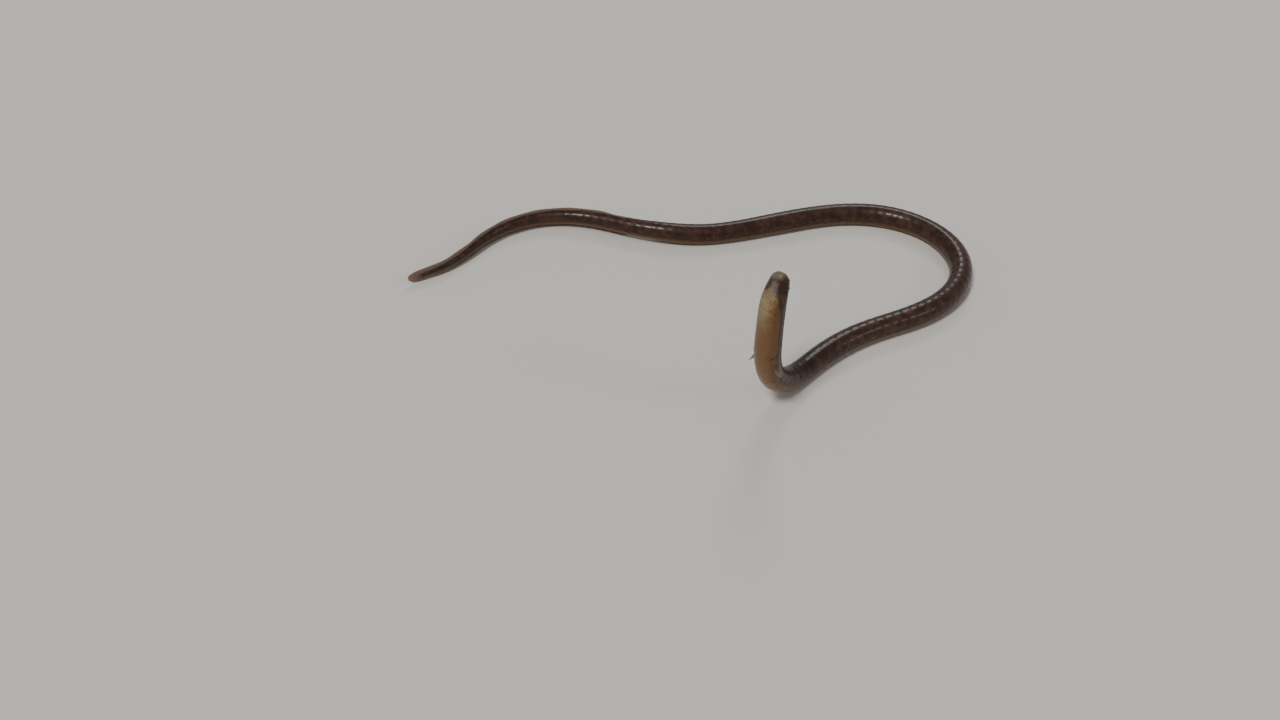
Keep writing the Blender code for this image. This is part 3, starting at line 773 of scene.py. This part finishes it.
def fold_relief():
    """Narrow furrows across the inner side of each bend, the deeper the more the skin is shortened."""
    to_left, to_back = np.sin(angle)[..., None], np.cos(angle)[..., None]
    outward = to_left * on_route("left", plain_s) + to_back * on_route("back", plain_s)
    shortening = plain_length * np.sum(on_route("bend", plain_s) * outward, axis=-1)
    uneven = 0.30 * np.sin(plain_s * 0.61) + 0.12 * np.sin(3 * angle + plain_s * 0.4)
    furrow = (0.5 + 0.5 * np.cos(2 * math.pi * (plain_s / FOLD_LENGTH + uneven))) ** 2
    strength = ease_from(shortening, *FOLD_SHORTENING) * ease_from(plain_s, *FOLDS_RISE)
    return -FOLD_DEPTH * furrow * strength


folds = fold_relief()
relief += folds
print("deepest fold:", round(-float(folds.min()), 2), "mm")

# %% The back's furrow, the lateral lines and the swell of the trunk
BODY_RADIUS = 3.5
FURROW_WIDTH, FURROW_DEPTH = 0.85, 0.07
LATERAL_ANGLE, LATERAL_WIDTH, LATERAL_DEPTH = math.radians(84), 0.26, 0.04
SWELL_LENGTH, SWELL_HEIGHT = 5.3, 0.05  # the length is that of one radian of the wave
TRUNK_RISE, FURROW_FADE, LATERAL_FADE, SWELL_FADE = (20, 14), (244, 14), (300, 25), (250, 40)


def furrow_relief():
    """A groove along the back's ridge, a finer one along each flank, and a slow wave."""
    body = ease_from(plain_s, *TRUNK_RISE)
    back = -FURROW_DEPTH * hump(side_angle * BODY_RADIUS, FURROW_WIDTH)
    lateral = -LATERAL_DEPTH * hump((side_angle - LATERAL_ANGLE) * BODY_RADIUS, LATERAL_WIDTH)
    swell = SWELL_HEIGHT * np.sin(plain_s / SWELL_LENGTH + 0.8)
    faded = ((back, FURROW_FADE), (lateral, LATERAL_FADE), (swell, SWELL_FADE))
    return sum(form * body * (1 - ease_from(plain_s, *fade_out)) for form, fade_out in faded)


relief += furrow_relief()
print("relief from", round(float(relief.min()), 2), "to", round(float(relief.max()), 2), "mm")

# %% The throat and the soft forms of the head
THROAT_RISE, THROAT_FADE = (7, 5), (20, 6)
THROAT_SIDE = (math.radians(118), math.radians(25))  # the same, round the body
THROAT_FOLDS, THROAT_FOLD_DEPTH = 21, 0.045  # as many as would fit all round the body
CORNER_PLACE, CORNER_LENGTH, CORNER_HEIGHT, CORNER_DEPTH = 7.2, 0.7, 0.30, 0.07
SOFT_FORMS = (  # height, place, length, angle from the back's ridge, and width in radians
    (0.14, 12.0, 3.4, math.radians(58), 0.42),  # the jaw muscles
    (-0.08, 7.5, 3.0, 0.0, 0.30),  # the dip between them
    (-0.06, 4.5, 3.0, math.pi, 0.1364),  # the groove under the chin
)


def throat_relief():
    """Lengthwise folds under the throat."""
    under = ease_from(side_angle, *THROAT_SIDE)
    stretch = ease_from(plain_s, *THROAT_RISE) * (1 - ease_from(plain_s, *THROAT_FADE))
    return -THROAT_FOLD_DEPTH * under * stretch * (0.5 + 0.5 * np.cos(THROAT_FOLDS * side_angle)) ** 2


def soft_relief():
    """The dimple at each corner of the mouth, and humps along the body times humps round it."""
    beside = plain_up - mouth_height(plain_s)
    total = -CORNER_DEPTH * hump(plain_s - CORNER_PLACE, CORNER_LENGTH) * hump(beside, CORNER_HEIGHT)
    for height, s, length, around, width in SOFT_FORMS:
        total += height * hump(plain_s - s, length) * hump(side_angle - around, width)
    return total


relief += throat_relief() + soft_relief()
print("relief from", round(float(relief.min()), 2), "to", round(float(relief.max()), 2), "mm")

# %% [markdown]
# ## One skin
#
# A living eel's skin has no joint anywhere, so the nine flesh solids are replaced by one closed surface.
# The relief is added to the rays' lengths, and the ends of the rays are laid along the midline. Each solid
# could get a skin of its own, but the gaps between them would show as rings. Every point also carries what
# the material asks for: where it is along the body, how high, how far round and across, and how near a
# pore.

# %% The skin, in one piece
PORE_SPACING, PORE_MARK_WIDTH = 3.0, 0.17
PORES_RISE, PORES_FADE = (26, 4), (318, 8)
LEAST_DEPTH = 1.2  # heights are shares of the body's depth, or of this where the snout is thinner


def pore_marks():
    """1 at each pore of the lateral line."""
    nearest = plain_s - PORE_SPACING * np.round(plain_s / PORE_SPACING)
    distance = np.sqrt(nearest**2 + ((side_angle - LATERAL_ANGLE) * BODY_RADIUS) ** 2)
    rows = ease_from(plain_s, *PORES_RISE) * (1 - ease_from(plain_s, *PORES_FADE))
    return hump(distance, PORE_MARK_WIDTH) * rows


final_s, final_across, final_up = along_ray(plain_length + relief)
skin_points = place(final_s, final_across, final_up)
above, below = sizes_at(np.maximum(final_s, 0.0))[1:]
half_depth = np.where(final_up > 0, above, np.maximum(below, -final_up.min(axis=1, keepdims=True)))
values = {
    "along": final_s,
    "height": np.clip(final_up / np.maximum(half_depth, LEAST_DEPTH), -1.0, 1.0),
    "turn": side_angle / math.pi,
    "across": final_across,  # positive on the animal's left
    "pores": pore_marks(),
}
front_s = 0.5 * (final_s[0].min() + final_s[0].max())
front_point = place(np.array(front_s), 0.0, mouth_height(FAN_CENTRE))
rear_point = skin_points[-1].mean(axis=0)
skin = make_tube("skin", skin_points, SKIN, values, (front_point, rear_point))
flesh = ["head", "lower_jaw", "neck"] + [f"trunk_{i}" for i in (1, 2, 3, 4)] + ["tail_1", "tail_2"]
finish_piece(skin, "skin", *flesh)

# %% [markdown]
# ## The eyes
#
# A burrowing eel's eyes are minute and covered by clear skin, so no lid shows. Each is a dark ball with a
# narrow bronze ring round a large pupil. A ready-made sphere would do, but the grid of a ball is as easy to
# work out, and its attribute tells the material where the pupil ends.

# %% Eyes
EYE_RADIUS, EYE_SUNK = 0.52, 0.36  # the second is how far its middle lies under the plain skin
EYE_RINGS, EYE_COLUMNS = 38, 48
PUPIL_EDGE, IRIS_EDGE = math.radians(38), math.radians(47)
PUPIL_BLUR, IRIS_BLUR = 0.10, 0.25
PUPIL = (0.006, 0.006, 0.010, 1.0)
BRONZE_DARK = (0.035, 0.022, 0.016, 1.0)
BRONZE = (0.110, 0.080, 0.045, 1.0)
EYE_RIM = (0.030, 0.022, 0.024, 1.0)
FLECKS = 9000.0  # in waves a metre


def eye_material():
    """Pupil, bronze ring and dark rim, by the angle from the line of sight."""
    made, tree, shader = new_material("eye")
    off_axis = attribute(tree, "off_axis")
    flecks = noise(tree, FLECKS, 4.0)
    bronze = mix(tree, flecks, BRONZE_DARK, BRONZE)
    out_of_pupil = fade(tree, off_axis, PUPIL_EDGE - PUPIL_BLUR, PUPIL_EDGE + PUPIL_BLUR)
    colour = mix(tree, out_of_pupil, PUPIL, bronze)
    colour = mix(tree, fade(tree, off_axis, IRIS_EDGE, IRIS_EDGE + IRIS_BLUR), colour, EYE_RIM)
    tree.links.new(colour, shader.inputs["Base Color"])
    tree.links.new(calc(tree, "MULTIPLY_ADD", flecks, 0.15, 0.12), shader.inputs["Roughness"])
    shader.inputs["Specular IOR Level"].default_value = 0.25
    shader.inputs["Coat Weight"].default_value = 0.5
    shader.inputs["Coat Roughness"].default_value = 0.06
    shader.inputs["Coat IOR"].default_value = 1.33
    tree.links.new(bump(tree, flecks, 0.00001), shader.inputs["Normal"])
    return made


def make_eye(name, side, material):
    """Radius times (cos t, sin t cos u, sin t sin u), with t the angle from the line of sight."""
    s, across, up = on_section(EYE_PLACE, EYE_ANGLE)
    centre = place(np.array(EYE_PLACE), side * across, up)
    half_width, above, _ = (float(size) for size in sizes_at(EYE_PLACE))
    left, back = on_route("left", EYE_PLACE), on_route("back", EYE_PLACE)
    out = unit(side * above * math.sin(EYE_ANGLE) * left + half_width * math.cos(EYE_ANGLE) * back)
    along = on_route("tail", EYE_PLACE)
    around = np.cross(out, along)
    t = np.linspace(0.0, math.pi, EYE_RINGS + 2)[1:-1, None, None]
    u = np.linspace(0.0, 2 * math.pi, EYE_COLUMNS, endpoint=False)[None, :, None]
    ring = np.sin(t) * (np.cos(u) * along + np.sin(u) * around)
    rings = centre - EYE_SUNK * out + EYE_RADIUS * (np.cos(t) * out + ring)
    ends = (centre + (EYE_RADIUS - EYE_SUNK) * out, centre - (EYE_RADIUS + EYE_SUNK) * out)
    off_axis = np.broadcast_to(t[..., 0], rings.shape[:2])
    return make_tube(name, rings, material, {"off_axis": off_axis}, ends)


EYE = eye_material()
for name, side in (("eye_left", 1), ("eye_right", -1)):
    finish_piece(make_eye(f"{name}_ball", side, EYE), "eye", name)

# %% [markdown]
# ## The fins' finish
#
# A fin is two thin layers of skin with soft rays between them. It is a muddy brown, darker on the rays and
# at the root, and paler towards its free edge. A picture stretched over it would blur on pieces this small.
# Two attributes, the ray and the way to the edge, keep each ray's line crisp.

# %% Fin membrane material
RAY = (0.090, 0.048, 0.036, 1.0)
MEMBRANE = (0.165, 0.098, 0.066, 1.0)
FIN_EDGE = (0.260, 0.185, 0.130, 1.0)
FIN_ROOT = (0.055, 0.027, 0.024, 1.0)
FIN_CLOUD = (0.060, 0.030, 0.026, 1.0)
RAY_SHARE, EDGE_SHARE, CLOUD_SHARE = 0.80, 0.60, 0.50
ROOT_END = (0.60, 0.20)  # the root's colour fades in over these shares of the way to the edge
FIN_CLOUDS, FIN_GRAIN = 900.0, 3500.0  # in waves a metre


def fin_material():
    """Membrane, rays, pale edge, clouds and dark root, each mixed over the ones before."""
    made, tree, shader = new_material("fin_membrane")
    clouds, to_edge = noise(tree, FIN_CLOUDS, 4.0), attribute(tree, "to_edge")
    colour = mix(tree, calc(tree, "MULTIPLY", attribute(tree, "ray"), RAY_SHARE), MEMBRANE, RAY)
    edge = calc(tree, "POWER", to_edge, 4.0)
    colour = mix(tree, calc(tree, "MULTIPLY", edge, EDGE_SHARE), colour, FIN_EDGE)
    cloudy = calc(tree, "MULTIPLY", fade(tree, clouds, 0.45, 0.75), CLOUD_SHARE)
    colour = mix(tree, cloudy, colour, FIN_CLOUD)
    colour = mix(tree, fade(tree, to_edge, *ROOT_END), colour, FIN_ROOT)
    tree.links.new(colour, shader.inputs["Base Color"])
    tree.links.new(calc(tree, "MULTIPLY_ADD", clouds, 0.25, 0.20), shader.inputs["Roughness"])
    shader.inputs["Coat Weight"].default_value = 0.5
    shader.inputs["Coat Roughness"].default_value = 0.08
    shader.inputs["Subsurface Weight"].default_value = 0.35
    shader.inputs["Subsurface Radius"].default_value = (1.0, 0.6, 0.4)
    shader.inputs["Subsurface Scale"].default_value = 0.0005
    tree.links.new(bump(tree, noise(tree, FIN_GRAIN), 0.00002), shader.inputs["Normal"])
    return made


FIN = fin_material()
print("fin nodes:", len(FIN.node_tree.nodes))

# %% [markdown]
# ## The fin round the tail
#
# On this eel the dorsal fin, the tail fin and the anal fin are one low, soft fold that runs round the tail.
# So it is one membrane here too. It is drawn flat, in the plane of the tail, between a root line just
# inside the skin and an outer line, and then laid along the midline. Rays stand on both sides of it as fine
# ridges. Three separate fins would need seams where they meet, and the living animal has none.

# %% Outlines of the two folds and the rounded end
DORSAL_START, ANAL_START = 258.0, 251.0
FRONT_TAPER, FRONT_SHARE = 9.0, 0.2  # each fold starts at a fifth of its height
RAKE = 0.8  # the rays lean back by this share of their height
RAKE_END = (318.0, 14.0)  # up to this place, fading over this length
ROOT_SUNK = 0.35
TAIL_FIN_ROOT, TAIL_FIN_HALF_ROOT = 333.65, 0.45
FAN_SIDES, FAN_END = 0.85, 0.80  # powers below 1 make the fan's outline fuller than an ellipse
FIN_STEP = 0.14
FIN_RAY_SPACING, FAN_RAY_SPACING = 0.85, math.radians(9)
FAN_STEPS = 10  # between two rays of the fan


def fold_lines(start, up):
    """Root and outer line of one fold as (place, height) pairs, and the count of rays up to each point."""
    s = np.arange(start, TAIL_FIN_ROOT, FIN_STEP)
    body = sizes_at(s)[1 if up > 0 else 2]
    taper = FRONT_SHARE + (1 - FRONT_SHARE) * ease_from(s, start, FRONT_TAPER)
    tall = (fin_height(s) + FIN_GAP) * taper
    rake = RAKE * (1 - ease_from(s, *RAKE_END)) * tall
    root = np.stack([s, up * (body - ROOT_SUNK)], axis=-1)
    outer = np.stack([s + rake, up * (body + tall)], axis=-1)
    return root, outer, s / FIN_RAY_SPACING


def fan_lines():
    """The rounded end: rays spread over a half turn, from a short root to a full half ellipse."""
    turn = np.arange(math.pi / 2, -math.pi / 2, -FAN_RAY_SPACING / FAN_STEPS)[1:]
    half_height = float(sizes_at(FLESH_END)[1] + fin_height(FLESH_END)) + FIN_GAP
    root = np.stack([TAIL_FIN_ROOT + 0 * turn, TAIL_FIN_HALF_ROOT * np.sin(turn)], axis=-1)
    reach = TOTAL_LENGTH - TAIL_FIN_ROOT
    side = np.sign(np.sin(turn)) * np.abs(np.sin(turn)) ** FAN_SIDES
    outer = np.stack([TAIL_FIN_ROOT + reach * np.cos(turn) ** FAN_END, half_height * side], axis=-1)
    return root, outer, turn / FAN_RAY_SPACING


dorsal, fan, anal = fold_lines(DORSAL_START, 1), fan_lines(), fold_lines(ANAL_START, -1)
parts = [np.concatenate([dorsal[i], fan[i], anal[i][::-1]]) for i in range(3)]
print("stations round the tail:", len(parts[0]))

# %% The membrane, laid along the midline
ACROSS_STEPS = 9
RAY_WIDTH, RAY_RELIEF, RAY_THINNING = 0.20, 0.06, 0.35
ROOT_THICKNESS, EDGE_THICKNESS = 0.40, 0.14
EDGE_ROUND = 8  # the power that rounds off a free edge: the higher, the nearer the edge
RIPPLE_HEIGHT, RIPPLE_LENGTH, RIPPLE_REACH = 0.10, 11.0, 1.2


def there_and_back(one_side, other_side):
    """One loop from two faces: up the first and down the other."""
    return np.concatenate([one_side, other_side[:, ::-1]], axis=1)


def ray_values(ray, to_edge):
    """What the fin material asks for, on both faces."""
    to_edge = np.broadcast_to(to_edge, ray.shape)
    return {"ray": there_and_back(ray, ray), "to_edge": there_and_back(to_edge, to_edge)}


def in_tail_plane(flat, across):
    """Lays a flat (place, height) drawing along the midline, with a slow ripple in the free edge."""
    s = np.minimum(flat[..., 0], TOTAL_LENGTH)
    beyond = np.abs(flat[..., 1]) - sizes_at(np.minimum(s, FLESH_END))[1]
    ripple = RIPPLE_HEIGHT * np.clip(beyond, 0.0, RIPPLE_REACH) * np.sin(2 * math.pi * s / RIPPLE_LENGTH)
    return place(s, across + ripple, flat[..., 1])


def tail_rings(root, outer, phase):
    """A closed loop round the membrane at every station, and its values for the material."""
    h = np.linspace(0.0, 1.0, ACROSS_STEPS)[None, :]
    ray = hump(phase - np.round(phase), RAY_WIDTH)[:, None] * (1 - RAY_THINNING * h)
    thickness = ROOT_THICKNESS + (EDGE_THICKNESS - ROOT_THICKNESS) * h
    half = thickness / 2 * np.sqrt(1.02 - h**EDGE_ROUND) + RAY_RELIEF * ray
    flat = root[:, None, :] + h[..., None] * (outer - root)[:, None, :]
    return there_and_back(in_tail_plane(flat, half), in_tail_plane(flat, -half)), ray_values(ray, h)


loops, fin_values = tail_rings(*parts)
tail_membrane = make_tube("tail_membrane", loops, FIN, fin_values)
finish_piece(tail_membrane, "fin", "dorsal_fin", "tail_fin", "anal_fin")

# %% [markdown]
# ## The pectoral fins
#
# Just behind each gill opening sits a fin barely 3 mm long. It is a small round fan that grows out of the
# skin, held half open. It could be cut out of a flat sheet, but then its rays would be only painted on.
# Here it is a grid: one parameter runs along the ray and the other from ray to ray, and the rays are ridges
# on both faces.

# %% Pectoral fins
PECTORAL_PLACE, PECTORAL_ANGLE = 28.3, math.radians(106)
PECTORAL_LENGTH, PECTORAL_HALF_ROOT, PECTORAL_HALF_TIP = 2.9, 0.55, 1.0
PECTORAL_ROOT_THICKNESS, PECTORAL_THINNING = 0.42, 0.30
PECTORAL_TILT = math.radians(29)  # of the fan from the skin
PECTORAL_RAYS, PECTORAL_RAY_WIDTH, PECTORAL_RAY_THINNING, PECTORAL_RAY_RELIEF = 7, 0.22, 0.4, 0.04
PECTORAL_OFFSET = 0.6  # of the fan from the skin in the solids
PECTORAL_SUNK, PECTORAL_ROOT_REACH = 0.30, 1.1  # of the root, under the skin and forward
FAN_SHORTENING, FAN_ROUNDNESS = 0.62, 2.4  # how much shorter the outermost rays are, and how suddenly
SIDE_ROUND = 6  # the power that rounds off the fan's two sides
FAN_WAVE, FAN_DROOP = 0.08, 0.22
STEPS_PER_RAY, STEPS_ALONG_RAY = 12, 24


def pectoral_sheet(v, u):
    """(along, across, offset, half thickness, ray) where v runs from ray to ray and u from root to edge."""
    phase = v * PECTORAL_RAYS / 2
    ray = hump(phase - np.round(phase), PECTORAL_RAY_WIDTH) * (1 - PECTORAL_RAY_THINNING * u)
    ray_length = PECTORAL_LENGTH * (1 - FAN_SHORTENING * np.abs(v) ** FAN_ROUNDNESS)
    along = ray_length * u - PECTORAL_ROOT_REACH * (1 - u) ** 3
    widening = PECTORAL_HALF_TIP - PECTORAL_HALF_ROOT * (0.7 + 0.3 * ease(u / 0.4))
    across = v * (PECTORAL_HALF_TIP - widening * (1 - np.sin(math.pi / 2 * u)))
    offset = PECTORAL_OFFSET * ease(u / 0.9) - PECTORAL_SUNK * (1 - u) ** 2
    thickness = PECTORAL_ROOT_THICKNESS - PECTORAL_THINNING * u
    sides = np.sqrt(np.clip(1.04 - v**SIDE_ROUND, 0.0, 1.0))
    half = thickness / 2 * np.sqrt(1.02 - u**EDGE_ROUND) * sides + PECTORAL_RAY_RELIEF * ray
    return along, across, offset, half, ray


def make_pectoral(name, side, material):
    """The sheet laid on the skin: tailward, round the body and outward, tilted and curved a little."""
    half_width, _, below = (float(size) for size in sizes_at(PECTORAL_PLACE))
    left, back, tailward = (on_route(what, PECTORAL_PLACE) for what in ("left", "back", "tail"))
    sin, cos = math.sin(PECTORAL_ANGLE), math.cos(PECTORAL_ANGLE)
    out = unit(side * below * sin * left + half_width * cos * back)
    foot = place(np.array(PECTORAL_PLACE), side * half_width * sin, below * cos)
    ray_way = math.cos(PECTORAL_TILT) * tailward + math.sin(PECTORAL_TILT) * out
    normal = math.cos(PECTORAL_TILT) * out - math.sin(PECTORAL_TILT) * tailward
    v = np.linspace(-1.0, 1.0, STEPS_PER_RAY * PECTORAL_RAYS + 1)[:, None]
    u = np.linspace(0.0, 1.0, STEPS_ALONG_RAY)[None, :]
    sheet = np.broadcast_arrays(*pectoral_sheet(v, u))
    along, across, offset, half, ray = (part[..., None] for part in sheet)
    droop = (FAN_WAVE * np.sin(3 * v) * u - FAN_DROOP * u**2)[..., None]
    middle = foot + offset * out + along * ray_way + across * np.cross(out, tailward) + droop * normal
    rings = there_and_back(middle + half * normal, middle - half * normal)
    return make_tube(name, rings, material, ray_values(ray[..., 0], u))


for name, side in (("pectoral_fin_left", 1), ("pectoral_fin_right", -1)):
    finish_piece(make_pectoral(f"{name}_fan", side, FIN), "fin", name)

# %% [markdown]
# ## Floor and light
#
# A pale, plain floor lets the silhouette speak, and its raised rim hides the horizon from a low camera. The
# light comes mostly from above and the left, as in the picture. Area lamps would have to stay out of the
# frame and fade with distance, so three far lamps with a wide disc are used instead. The two weak ones,
# from the right and from behind, keep the dark side's colour.

# %% Floor
FLOOR = (0.70, 0.685, 0.66, 1.0)
FLAT_RADIUS, FLOOR_RADIUS = 2000.0, 6000.0
FLOOR_RINGS, FLOOR_COLUMNS = 24, 96
FLOOR_RISE = 800.0
FLOOR_DROP = 0.02  # so that the flats under the belly stay visible above the floor

floor_material, _, floor_shader = new_material("floor")
floor_shader.inputs["Base Color"].default_value = FLOOR
floor_shader.inputs["Roughness"].default_value = 0.8
radius = np.linspace(FLAT_RADIUS, FLOOR_RADIUS, FLOOR_RINGS)[:, None]
compass = np.arange(FLOOR_COLUMNS)[None, :] * 2 * math.pi / FLOOR_COLUMNS
rim = FLOOR_RISE * ((radius - FLAT_RADIUS) / (FLOOR_RADIUS - FLAT_RADIUS)) ** 2
floor_grid = np.broadcast_arrays(radius * np.cos(compass), radius * np.sin(compass), rim)
floor_rings = np.stack(floor_grid, axis=-1)
floor_points = (np.vstack([floor_rings.reshape(-1, 3), np.zeros(3)]) - (0, 0, FLOOR_DROP)) * MM
floor_faces = tube_faces(*floor_rings.shape[:2])[: -floor_rings.shape[1]]  # without a fan at the rim
floor_mesh = bpy.data.meshes.new("floor")
floor_mesh.from_pydata(floor_points.tolist(), [], floor_faces)
floor_mesh.flip_normals()
floor_mesh.shade_smooth()
floor_mesh.materials.append(floor_material)
floor = bpy.data.objects.new("floor", floor_mesh)
bpy.context.scene.collection.objects.link(floor)
print("floor:", len(floor_faces), "faces")


# %% Lamps and sky
def soft_sun(name, azimuth, elevation, strength, width, colour):
    """A lamp far away. Azimuth turns from the front (0) to the right (90); width is its disc in degrees."""
    lamp = bpy.data.objects.new(name, bpy.data.lights.new(name, "SUN"))
    bpy.context.scene.collection.objects.link(lamp)
    lamp.data.energy = strength
    lamp.data.angle = math.radians(width)
    lamp.data.color = colour
    lamp.rotation_euler = (math.radians(90 - elevation), 0.0, math.radians(azimuth))


soft_sun("key_lamp", -38, 56, 1.85, 14, (1.0, 0.965, 0.91))
soft_sun("fill_lamp", 70, 30, 0.28, 16, (0.95, 0.97, 1.0))
soft_sun("rear_lamp", 170, 42, 0.45, 16, (1.0, 1.0, 1.0))
world = bpy.data.worlds.new("soft_sky")
bpy.context.scene.world = world
world.use_nodes = True
world.node_tree.nodes["Background"].inputs["Color"].default_value = (0.86, 0.86, 0.86, 1.0)
world.node_tree.nodes["Background"].inputs["Strength"].default_value = 0.30
